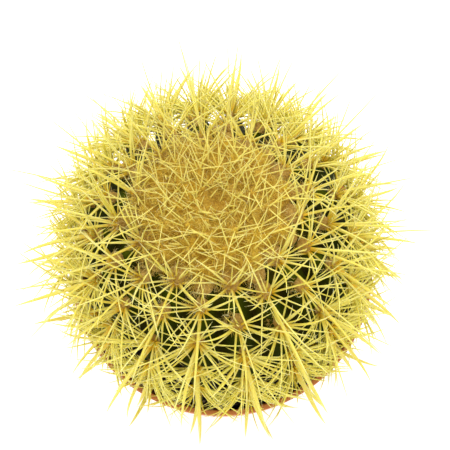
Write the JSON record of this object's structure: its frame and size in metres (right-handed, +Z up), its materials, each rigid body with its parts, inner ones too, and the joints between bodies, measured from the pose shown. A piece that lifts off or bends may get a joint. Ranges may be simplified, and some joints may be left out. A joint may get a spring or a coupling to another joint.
{
  "type": "potted round cactus",
  "caption": "Round ribbed barrel cactus with a woolly crown and long straw-yellow spines, in a terracotta-coloured grower's pot.",
  "frame": {"origin": "centre of the pot's flat underside, on the surface that the pot stands on", "axes": "+Z up, along the pot's axis, over which the plant stands; -Y is the front, the side that the picture looks down on; +X is to that view's right"},
  "size_m": [0.1716, 0.1685, 0.2023],
  "materials": {
    "pot_plastic": "satin",
    "potting_soil": "matte",
    "cactus_skin": "satin",
    "areole_wool": "matte",
    "spine_yellow": "satin"
  },
  "bodies": {
    "root": {"pot": "pot_plastic", "soil": "potting_soil", "cactus_body": "cactus_skin", "crown_wool": "areole_wool"}
  },
  "joints": []
}
